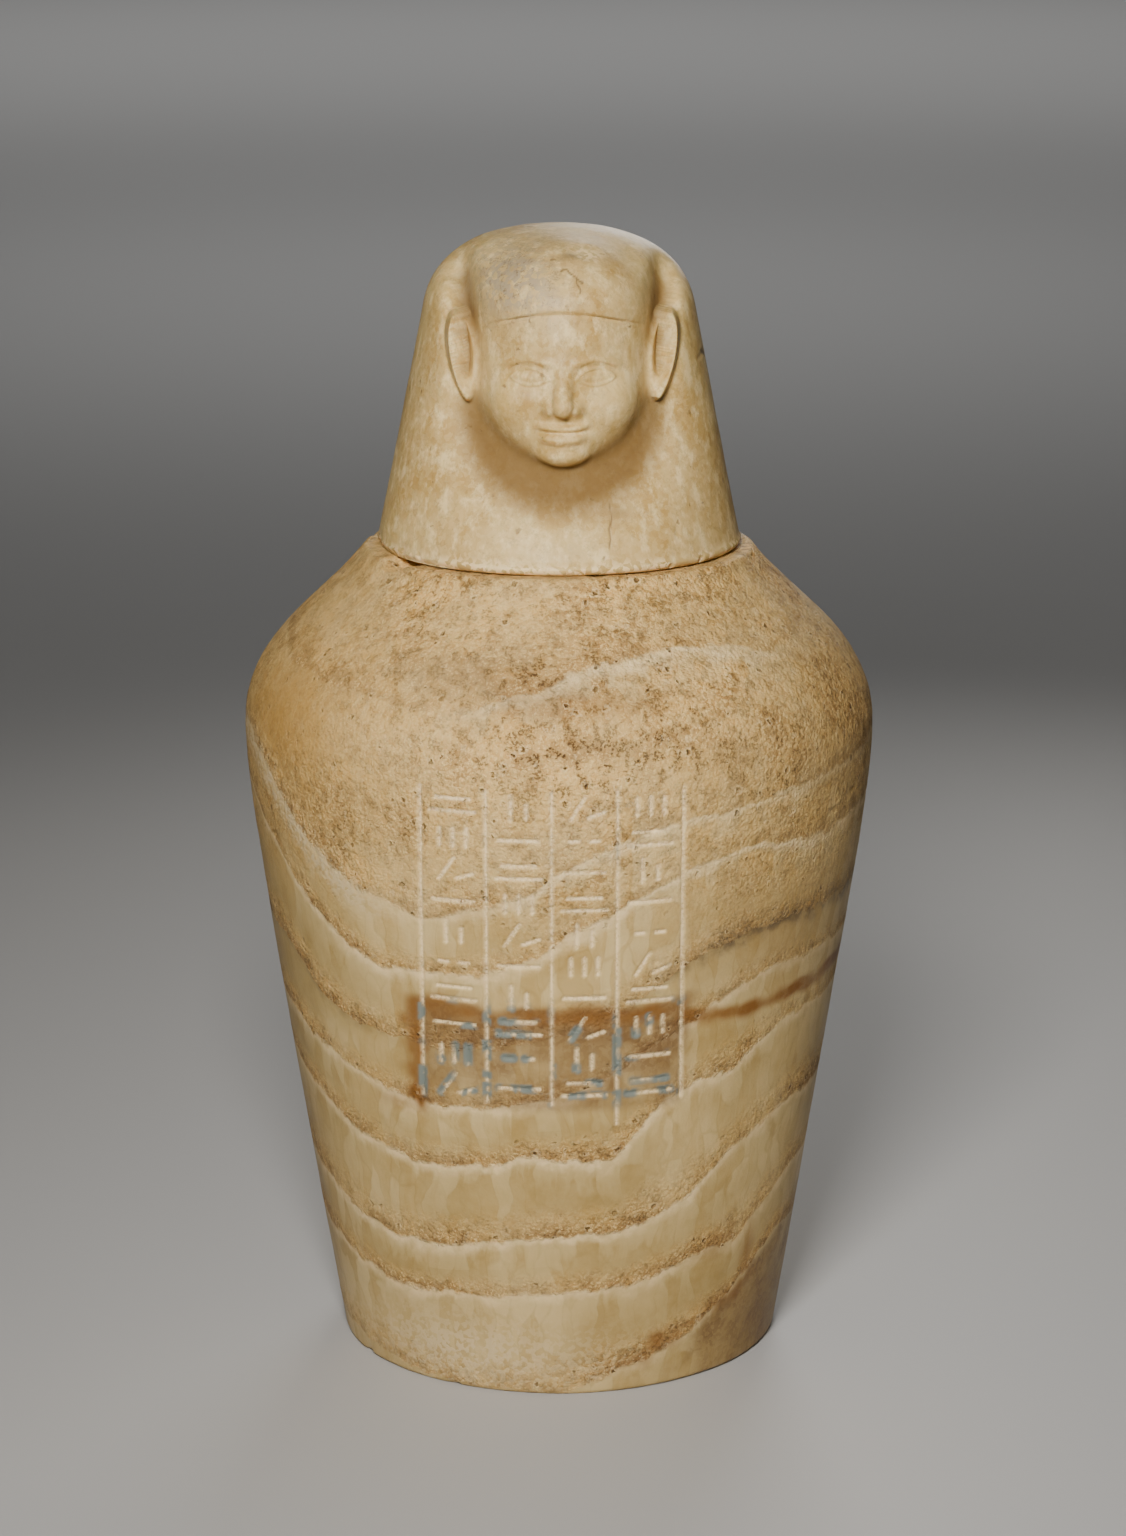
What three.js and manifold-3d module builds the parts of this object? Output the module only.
// Canopic jar: a tall stone vessel, hollowed by drilling, under a lid carved as a human head
// in a plain headcloth. Two pieces of stone: jar_body and lid. The lid only rests in the mouth.
// Millimetres, +Z up. The face looks along -Y and the origin is the middle of the underside.
import * as THREE from 'three';
import { mergeVertices } from 'three/addons/utils/BufferGeometryUtils.js';
import Module from 'manifold-3d';

// Jar, outside
const JAR_HEIGHT = 288;
const FOOT_RADIUS = 78.5;
const FOOT_EDGE = 2;
const SHOULDER_RADIUS = 111;
const SHOULDER_HEIGHT = 225.5;
const RIM_RADIUS = 68.6;
const RIM_EDGE = 2.5;
const RIM_SLOPE = 52;
const FLANK_SLOPE = 0.157;

// Jar, inside
const WALL = 18;
const FLOOR = 30;
const FLOOR_CORNER = 14;
const MOUTH_RADIUS = 46;
const NECK_DEPTH = 24;

// Broken place in the rim, under the lid's left front edge
const CHIP_ANGLE = -57;
const CHIP_WIDTH = 15;
const CHIP_DEPTH = 3.2;
const CHIP_INNER_RADIUS = 59;

// Inscription: upright rules with rows of short strokes between them
const RULE_COUNT = 5;
const COLUMN_WIDTH = 21.95;
const PANEL_SHIFT = -2.4;
const PANEL_TOP = SHOULDER_HEIGHT;
const ROW_HEIGHT = 11.3;
const LONG_RULE = 3;
const LONG_RULE_EXTRA = 8;
const RULE_WIDTH = 1.1;
const STROKE_WIDTH = 1.4;
const CUT_DEPTH = 0.9;
const CUT_CLEARANCE = 1;

// One character is one mark, and each string is a column, read from the top down.
const MARK_COLUMNS = ['=i/-|:=-i/', '|-=i/-|=:-', '/:-=|i-/|=', 'i=|-:/=i-='];

// Strokes of a mark: place across, place up, length (shares of the row) and slope in degrees.
const MARKS = {
  '-': [[0, 0, 1.2, 0]],
  '=': [[0, 0.2, 1.0, 0], [0, -0.2, 1.3, 0]],
  '|': [[-0.25, 0, 0.72, 90], [0.2, -0.1, 0.45, 90]],
  'i': [[-0.4, 0, 0.55, 90], [0, 0, 0.55, 90], [0.4, 0, 0.55, 90]],
  '/': [[-0.2, 0, 0.8, 58], [0.35, -0.2, 0.5, 20]],
  ':': [[-0.3, 0, 0.25, 0], [0.3, 0, 0.25, 0]],
};

// Lid, its seat and its tenon
const LID_HEIGHT = 111;
const LID_RADIUS = 64;
const LID_EDGE = 2.6;
const DOME_RADIUS = 47.4;
const DOME_START = 83;
const DOME_ROUNDNESS = 2.5;
const SEAT_GAP = 0.3;
const TENON_DEPTH = 16;
const TENON_CLEARANCE = 1.5;
const SEAT_HEIGHT = JAR_HEIGHT + SEAT_GAP;

// The head is carved to its own canon: everything on it is counted in modules of the lid's height.
const MODULE = LID_HEIGHT / 111;
const HEAD_SHIFT = 1.3;
const CHIN = 36;
const HAIRLINE = 87;
const FACE_HALF_WIDTH = 28;
const THIRD = (HAIRLINE - CHIN) / 3;
const NOSE_BASE = CHIN + THIRD;
const BROW = CHIN + 2 * THIRD;
const MOUTH = NOSE_BASE - THIRD / 3;
const EYE_LINE = BROW - THIRD / 4;
const EYE_WIDTH = 2 * FACE_HALF_WIDTH / 5;

// Fineness of the meshes
const JAR_SEGMENTS = 60;
const CAVITY_SEGMENTS = 32;
const FRONT_COLUMNS = 44;
const BACK_COLUMNS = 14;
const FRONT_HALF_ANGLE = 58;

const wasm = await Module();
wasm.setup();

const degrees = THREE.MathUtils.degToRad;
const { clamp, lerp } = THREE.MathUtils;

// Turns a closed geometry into a solid that can be joined and cut.
function solid(geometry) {
  const plain = geometry.clone();
  plain.deleteAttribute('normal');
  plain.deleteAttribute('uv');
  const merged = mergeVertices(plain, 1e-4);
  const faces = [];
  for (let i = 0; i < merged.index.count; i += 3) {
    const [a, b, c] = [0, 1, 2].map((k) => merged.index.getX(i + k));
    if (a !== b && b !== c && c !== a) faces.push(a, b, c);
  }
  const vertProperties = new Float32Array(merged.attributes.position.array);
  const triVerts = new Uint32Array(faces);
  return new wasm.Manifold(new wasm.Mesh({ numProp: 3, vertProperties, triVerts }));
}

// Gives a solid back as a geometry.
function geometryOf(manifold) {
  const mesh = manifold.getMesh();
  const geometry = new THREE.BufferGeometry();
  geometry.setAttribute('position', new THREE.BufferAttribute(mesh.vertProperties, 3));
  geometry.setIndex(new THREE.BufferAttribute(mesh.triVerts, 1));
  geometry.computeVertexNormals();
  return geometry;
}

// A body of revolution about Z from a profile of [radius, height] points.
function turned(profile, segments) {
  const points = profile.map(([radius, height]) => new THREE.Vector2(radius, height));
  return new THREE.LatheGeometry(points, segments).rotateX(Math.PI / 2);
}

function sweep(steps, ...corners) {
  const points = corners.map(([radius, height]) => new THREE.Vector2(radius, height));
  return new THREE.CubicBezierCurve(...points).getPoints(steps).map((p) => [p.x, p.y]);
}

function roundEdge(steps, radius, height, edge, from, to) {
  const arc = new THREE.EllipseCurve(radius, height, edge, edge, degrees(from), degrees(to));
  return arc.getPoints(steps).map((p) => [p.x, p.y]);
}

// Drops points that repeat the one before them.
function tidy(points) {
  const apart = ([r0, z0], [r1, z1]) => Math.hypot(r1 - r0, z1 - z0);
  return points.filter((point, i) => i === 0 || apart(point, points[i - 1]) > 1e-3);
}

// The jar's flank leaves the foot at a slope and turns upright at the shoulder.
function flankCurve(steps, inset, fromHeight) {
  const rise = SHOULDER_HEIGHT - fromHeight;
  const foot = FOOT_RADIUS + FLANK_SLOPE * (fromHeight - FOOT_EDGE) - inset;
  const widest = SHOULDER_RADIUS - inset;
  return sweep(steps, [foot, fromHeight], [foot + FLANK_SLOPE * 0.6 * rise, fromHeight + 0.6 * rise],
    [widest, SHOULDER_HEIGHT - 0.125 * rise], [widest, SHOULDER_HEIGHT]);
}

function jarOutline() {
  const [across, up] = [Math.cos(degrees(RIM_SLOPE)), Math.sin(degrees(RIM_SLOPE))];
  const topEdge = JAR_HEIGHT - RIM_EDGE * (1 - across);
  const rise = topEdge - SHOULDER_HEIGHT;
  return tidy([
    [0, 0],
    ...roundEdge(2, FOOT_RADIUS - FOOT_EDGE, FOOT_EDGE, FOOT_EDGE, -90, 0),
    ...flankCurve(6, 0, FOOT_EDGE),
    ...sweep(8, [SHOULDER_RADIUS, SHOULDER_HEIGHT], [SHOULDER_RADIUS, SHOULDER_HEIGHT + 0.48 * rise],
      [RIM_RADIUS + 0.42 * rise * across, topEdge - 0.42 * rise * up], [RIM_RADIUS, topEdge]),
    ...roundEdge(2, RIM_RADIUS - RIM_EDGE * up, JAR_HEIGHT - RIM_EDGE, RIM_EDGE, 90 - RIM_SLOPE, 90),
    [0, JAR_HEIGHT],
  ]);
}

function cavityOutline() {
  const start = FLOOR + FLOOR_CORNER;
  const flank = flankCurve(4, WALL, start);
  const neck = JAR_HEIGHT - NECK_DEPTH;
  const rise = neck - SHOULDER_HEIGHT;
  const widest = SHOULDER_RADIUS - WALL;
  return tidy([
    [0, FLOOR],
    ...roundEdge(2, flank[0][0] - FLOOR_CORNER, start, FLOOR_CORNER, -90, 0),
    ...flank,
    ...sweep(5, [widest, SHOULDER_HEIGHT], [widest, SHOULDER_HEIGHT + 0.6 * rise],
      [MOUTH_RADIUS + 0.5 * (widest - MOUTH_RADIUS), neck], [MOUTH_RADIUS, neck]),
    [MOUTH_RADIUS, JAR_HEIGHT + CUT_CLEARANCE],
    [0, JAR_HEIGHT + CUT_CLEARANCE],
  ]);
}

// Radius of the jar's outside at a height, read from its outline.
const outline = jarOutline();
function jarRadius(height) {
  for (let i = 1; i < outline.length - 1; i += 1) {
    const [r0, z0] = outline[i];
    const [r1, z1] = outline[i + 1];
    if (height <= z1) return lerp(r0, r1, clamp((height - z0) / (z1 - z0), 0, 1));
  }
  return RIM_RADIUS;
}

// A point of the jar's front: across and height as seen from the front, then how far it stands proud.
function onJar(across, height, proud) {
  const radius = jarRadius(height);
  const angle = Math.asin(across / radius);
  return [(radius + proud) * Math.sin(angle), -(radius + proud) * Math.cos(angle), height];
}

// A groove of V section along a path of [across, height] points on the jar's front.
function groove(path, width) {
  const [first, last] = [path[0], path[path.length - 1]];
  const length = Math.hypot(last[0] - first[0], last[1] - first[1]);
  const side = [-(last[1] - first[1]) / length, (last[0] - first[0]) / length];
  const half = (width / 2) * (CUT_DEPTH + CUT_CLEARANCE) / CUT_DEPTH;
  const corners = path.flatMap(([across, height]) => [
    onJar(across + half * side[0], height + half * side[1], CUT_CLEARANCE),
    onJar(across - half * side[0], height - half * side[1], CUT_CLEARANCE),
    onJar(across, height, -CUT_DEPTH),
  ]);
  const faces = [0, 2, 1];
  for (let i = 0; i < path.length - 1; i += 1) {
    for (let k = 0; k < 3; k += 1) {
      const [a, b] = [3 * i + k, 3 * i + (k + 1) % 3];
      faces.push(a, b, a + 3, b, b + 3, a + 3);
    }
  }
  const end = 3 * (path.length - 1);
  faces.push(end, end + 1, end + 2);
  const vertProperties = new Float32Array(corners.flat());
  const triVerts = new Uint32Array(faces);
  return new wasm.Manifold(new wasm.Mesh({ numProp: 3, vertProperties, triVerts }));
}

function ruleAcross(index) {
  return PANEL_SHIFT + (index - (RULE_COUNT - 1) / 2) * COLUMN_WIDTH;
}

function rules() {
  const rows = MARK_COLUMNS[0].length;
  return Array.from({ length: RULE_COUNT }, (_, index) => {
    const extra = index === LONG_RULE ? LONG_RULE_EXTRA : 0;
    const length = rows * ROW_HEIGHT + extra;
    const steps = 6;
    const level = (i) => PANEL_TOP - length * i / steps;
    const path = Array.from({ length: steps + 1 }, (_, i) => [ruleAcross(index), level(i)]);
    return groove(path, RULE_WIDTH);
  });
}

function strokes() {
  const cuts = [];
  MARK_COLUMNS.forEach((column, c) => {
    const middle = (ruleAcross(c) + ruleAcross(c + 1)) / 2;
    [...column].forEach((mark, row) => {
      const height = PANEL_TOP - (row + 0.5) * ROW_HEIGHT;
      for (const [across, up, length, slope] of MARKS[mark]) {
        const reach = length * ROW_HEIGHT / 2;
        const [dx, dz] = [reach * Math.cos(degrees(slope)), reach * Math.sin(degrees(slope))];
        const [x, z] = [middle + across * ROW_HEIGHT, height + up * ROW_HEIGHT];
        cuts.push(groove([[x - dx, z - dz], [x + dx, z + dz]], STROKE_WIDTH));
      }
    });
  });
  return cuts;
}

function rimChip() {
  const ball = new THREE.SphereGeometry(1, 12, 8);
  const reach = RIM_RADIUS - CHIP_INNER_RADIUS;
  ball.scale(reach, CHIP_WIDTH / 2, CHIP_DEPTH);
  ball.translate(RIM_RADIUS, 0, JAR_HEIGHT);
  ball.rotateZ(degrees(CHIP_ANGLE - 90));
  return solid(ball);
}

function jarBody() {
  let body = solid(turned(outline, JAR_SEGMENTS)).subtract(solid(turned(cavityOutline(), CAVITY_SEGMENTS)));
  for (const cut of [...rules(), ...strokes(), rimChip()]) body = body.subtract(cut);
  return geometryOf(body);
}

// Distances used to carve the head: points are [across, forward, up] in modules from the lid's seat.
function blend(a, b, softness) {
  const h = Math.max(softness - Math.abs(a - b), 0) / softness;
  return Math.min(a, b) - h * h * softness / 4;
}

function egg([x, f, z], [cx, cf, cz], [rx, rf, rz]) {
  const near = Math.hypot((x - cx) / rx, (f - cf) / rf, (z - cz) / rz);
  const slope = Math.hypot((x - cx) / rx ** 2, (f - cf) / rf ** 2, (z - cz) / rz ** 2);
  return slope === 0 ? -Math.min(rx, rf, rz) : near * (near - 1) / slope;
}

function limb([x, f, z], [ax, af, az], [bx, bf, bz], startRadius, endRadius) {
  const [dx, df, dz] = [bx - ax, bf - af, bz - az];
  const along = ((x - ax) * dx + (f - af) * df + (z - az) * dz) / (dx * dx + df * df + dz * dz);
  const t = clamp(along, 0, 1);
  return Math.hypot(x - ax - t * dx, f - af - t * df, z - az - t * dz) - lerp(startRadius, endRadius, t);
}

function bump(distance, reach) {
  const t = clamp(1 - Math.abs(distance) / reach, 0, 1);
  return t * t * (3 - 2 * t);
}

// Headcloth: an upright cone with a flattened dome.
function cloth([x, f, z]) {
  const side = (LID_RADIUS - (LID_RADIUS - DOME_RADIUS) * z / DOME_START) / MODULE;
  const rise = Math.max(z - DOME_START / MODULE, 0) / (111 - DOME_START / MODULE);
  const reach = Math.hypot(x, f) / side;
  return ((reach ** DOME_ROUNDNESS + rise ** DOME_ROUNDNESS) ** (1 / DOME_ROUNDNESS) - 1) * side;
}

// Reads a value off a short table of [height, value] pairs, straight between them.
function along(table, z) {
  const next = table.findIndex(([height]) => height > z);
  if (next === 0) return table[0][1];
  if (next < 0) return table[table.length - 1][1];
  const [[z0, v0], [z1, v1]] = [table[next - 1], table[next]];
  return lerp(v0, v1, (z - z0) / (z1 - z0));
}

// Soft rise from 0 to 1 where a distance passes zero.
function rise(distance, softness) {
  const t = clamp(0.5 + distance / softness, 0, 1);
  return t * t * (3 - 2 * t);
}

// The sunk band between face and headcloth: half an ellipse under the face, then up past the ears
// and out to the crown. It gives how deep the cloth is sunk at a place seen from the front.
const BAND_HALF_WIDTH = 31.5;
const BAND_MIDDLE = 66;
const BAND_DROP = 34;
const BAND_SPREAD = 3;
const BAND_DEPTH = [[20, 10], [32, 10], [60, 7], [84, 9], [96, 7], [107, 0]];
const BAND_WIDTH = [[20, 11], [32, 10], [60, 6], [84, 5.5], [107, 5]];

function band(x, z) {
  const below = (Math.hypot(x / BAND_HALF_WIDTH, (z - BAND_MIDDLE) / BAND_DROP) - 1) * BAND_HALF_WIDTH;
  const beside = x - BAND_HALF_WIDTH - BAND_SPREAD * ((z - BAND_MIDDLE) / 35) ** 2;
  const distance = z < BAND_MIDDLE ? below : beside;
  return along(BAND_DEPTH, z) * Math.exp(-((distance / along(BAND_WIDTH, z)) ** 2));
}

// The ear lies on the cloth beside the band: a leaning leaf shape, raised, with a hollow in it.
// Its walls that look at the face are gentle, so that none of it is undercut.
function leaf(x, z, [ax, az], [bx, bz], topRadius, footRadius) {
  const [dx, dz] = [bx - ax, bz - az];
  const t = clamp(((x - ax) * dx + (z - az) * dz) / (dx * dx + dz * dz), 0, 1);
  return Math.hypot(x - ax - t * dx, z - az - t * dz) - lerp(topRadius, footRadius, t);
}

function ear(x, z) {
  const shell = leaf(x, z, [34, 79.5], [30.6, 57.5], 5.4, 2.9);
  const hollow = leaf(x, z, [33.9, 79], [31.6, 65], 3, 1.2);
  const facing = rise(33.4 - x, 3);
  return 4 * rise(-shell - 0.6, 3.2 + 1.8 * facing) - 1.8 * rise(-hollow, 3.2);
}

function hairline(x) {
  return HAIRLINE - 6 * (x / FACE_HALF_WIDTH) ** 2;
}

// Low relief of the face, worked forward of its skin: sockets, eyes, brows and lips.
function relief(x, z) {
  const [eyeX, eyeZ] = [x - EYE_WIDTH, z - EYE_LINE];
  const socket = -1.4 * Math.exp(-((eyeX / 8) ** 2 + ((eyeZ - 0.3) / 4.6) ** 2));
  const arch = Math.max(1 - (eyeX / 5.9) ** 2, -1);
  const opening = Math.min(2.5 * arch + 0.04 * eyeX - eyeZ, eyeZ + 1.7 * arch - 0.04 * eyeX);
  const eyeball = 1.6 * Math.sqrt(clamp((opening + 0.8) / 2.5, 0, 1));
  const browLine = z - BROW - 1.4 + 0.02 * (x - EYE_WIDTH + 1) ** 2;
  const brow = 0.8 * bump(browLine, 2.4) * rise(x - 3, 3) * rise(1.75 * EYE_WIDTH - x, 5);
  const lipLine = z - MOUTH - 0.01 * x * x;
  const upperLip = 1.6 * bump(lipLine - 1.6, 2.4) * rise(8.6 - x, 4);
  const lowerLip = 1.9 * bump(lipLine + 2.1, 2.8) * rise(7.2 - x, 5);
  return socket + eyeball + brow + upperLip + lowerLip;
}

function face(point) {
  const [x, , z] = point;
  const skull = egg(point, [0, 24, 71], [29.3, 30.3, 37.5]);
  const jaw = egg(point, [0, 33.5, 54], [23.8, 21, 20]);
  const chin = egg(point, [0, 48, 41.5], [9.5, 8.2, 6.4]);
  const cheek = egg(point, [14.5, 42.5, 58], [9.5, 10, 10]);
  const skin = blend(blend(blend(skull, jaw, 9), chin, 6), cheek, 6);
  const bridge = limb(point, [0, 52, BROW - 1], [0, 58.4, NOSE_BASE + 3.6], 2.3, 3.5);
  const nostril = egg(point, [4, 54.8, NOSE_BASE + 2.8], [2.6, 3.6, 2.6]);
  return blend(skin - relief(x, z), blend(bridge, nostril, 1.8), 2.8);
}

// The headcloth over the forehead: a little boxy in plan, domed above, cut off along the hairline.
function frontCap([x, f, z]) {
  const boxy = 2.3;
  const plan = ((x / 28.6) ** boxy + (Math.abs(f - 22) / 30.5) ** boxy) ** (1 / boxy);
  const crown = (Math.hypot(plan, (z - 86) / 23) - 1) * 30;
  return Math.max(crown, hairline(x) - z);
}

// The whole lid as one distance; it is even about the head's middle.
function head([x, f, z]) {
  const across = Math.abs(x - HEAD_SHIFT);
  const front = rise(f - 5, 20);
  const sunk = cloth([x, f, z]) + front * (band(across, z) - ear(across, z));
  const covered = blend(sunk, frontCap([across, f, z]), 4);
  return blend(covered, face([across, f, z]), 1.5);
}

// The lines that find the lid's skin fan out from an upright behind its axis.
const FAN_BACK = 20;
const FAN_HEIGHT = 86;
const CLOTH_RADIUS = 57;

// How far a level line runs from that upright to a cylinder about the axis.
function fanReach(angle, radius) {
  return FAN_BACK * Math.cos(angle) + Math.sqrt(radius ** 2 - (FAN_BACK * Math.sin(angle)) ** 2);
}

// Follows a line of the fan to the last place where it leaves the stone.
function surfaceAlong(angle, height, tilt) {
  const [across, forward] = [Math.cos(tilt) * Math.sin(angle), Math.cos(tilt) * Math.cos(angle)];
  const at = (t) => [t * across, t * forward - FAN_BACK, height + t * Math.sin(tilt)];
  const farthest = 102;
  const step = 0.75;
  let inside = 0;
  for (let t = farthest; t > 0; t -= step) {
    if (head(at(t)) < 0) {
      inside = t;
      break;
    }
  }
  let outside = inside + step;
  for (let i = 0; i < 18; i += 1) {
    const middle = (inside + outside) / 2;
    if (head(at(middle)) < 0) inside = middle;
    else outside = middle;
  }
  return at(inside).map((v) => v * MODULE);
}

// Columns of the lid's mesh: close together over the face, wide apart round the back. They are
// spaced about the axis and then seen from the fan's upright.
function columnAngles() {
  const fine = 2 * FRONT_HALF_ANGLE / FRONT_COLUMNS;
  const front = Array.from({ length: FRONT_COLUMNS }, (_, i) => -FRONT_HALF_ANGLE + fine * i);
  const rest = 360 - 2 * FRONT_HALF_ANGLE;
  const back = Array.from({ length: BACK_COLUMNS }, (_, i) => FRONT_HALF_ANGLE + rest * i / BACK_COLUMNS);
  const headTurn = Math.asin(HEAD_SHIFT * MODULE / LID_RADIUS);
  return [...front, ...back].map((angle) => {
    const turn = degrees(angle) + headTurn;
    return Math.atan2(Math.sin(turn), Math.cos(turn) + FAN_BACK / CLOTH_RADIUS);
  });
}

// Rows of the lid's mesh, each as the lid's skin at an angle. The lines dip round the chin, so
// that its underside is followed, and fan out over the dome.
function sculptRows() {
  const chinLevel = CHIN - 2;
  const dip = 22;
  const levels = [4, 16, 26, 31, 35];
  for (let z = 37.5; z < FAN_HEIGHT; z += 2.6) levels.push(z);
  const levelRows = levels.map((level) => {
    const tilt = -degrees(dip) * bump(level - chinLevel, 24);
    return (angle) => surfaceAlong(angle, level - fanReach(angle, CLOTH_RADIUS) * Math.tan(tilt), tilt);
  });
  const tilts = [1.7, 4.5, 8.5, 13.5, 19.5, 26, 34.5, 47, 67];
  return [...levelRows, ...tilts.map((tilt) => (angle) => surfaceAlong(angle, FAN_HEIGHT, degrees(tilt)))];
}

function lid() {
  const angles = columnAngles();
  const tenon = MOUTH_RADIUS - TENON_CLEARANCE;
  const lower = tidy([
    [tenon - LID_EDGE / 2, -TENON_DEPTH],
    [tenon, -TENON_DEPTH + LID_EDGE / 2],
    [tenon, 0],
    ...roundEdge(2, LID_RADIUS - LID_EDGE, LID_EDGE, LID_EDGE, -90, 0),
  ]);
  const rings = lower.map(([radius, height]) => angles.map((angle) => {
    const reach = fanReach(angle, radius / MODULE);
    return [reach * Math.sin(angle) * MODULE, (reach * Math.cos(angle) - FAN_BACK) * MODULE, height];
  }));
  for (const row of sculptRows()) rings.push(angles.map(row));
  const crown = surfaceAlong(0, FAN_HEIGHT, degrees(90));

  const placed = ([x, forward, up]) => [x, -forward, SEAT_HEIGHT + up];
  const points = rings.flat().map(placed);
  const count = angles.length;
  const bottom = points.push(placed([0, 0, -TENON_DEPTH])) - 1;
  const top = points.push(placed(crown)) - 1;
  const lastRing = (rings.length - 1) * count;
  const faces = [];
  const apart = (a, b) => Math.hypot(...points[a].map((v, k) => v - points[b][k]));
  for (let i = 0; i < count; i += 1) {
    const next = (i + 1) % count;
    faces.push(bottom, next, i);
    faces.push(top, lastRing + i, lastRing + next);
    for (let ring = 0; ring < rings.length - 1; ring += 1) {
      const [a, b] = [ring * count + i, ring * count + next];
      const [c, d] = [b + count, a + count];
      if (apart(a, c) < apart(b, d)) faces.push(a, b, c, a, c, d);
      else faces.push(a, b, d, b, c, d);
    }
  }
  const geometry = new THREE.BufferGeometry();
  geometry.setAttribute('position', new THREE.BufferAttribute(new Float32Array(points.flat()), 3));
  geometry.setIndex(faces);
  geometry.computeVertexNormals();
  return geometry;
}

const jarStone = new THREE.MeshStandardMaterial({ color: 0xb99a6b, roughness: 0.42, metalness: 0 });
const lidStone = new THREE.MeshStandardMaterial({ color: 0xc4a878, roughness: 0.45, metalness: 0 });

const body = new THREE.Mesh(jarBody(), jarStone);
body.name = 'jar_body';
const cover = new THREE.Mesh(lid(), lidStone);
cover.name = 'lid';

const group = new THREE.Group();
group.add(body, cover);

export default group;
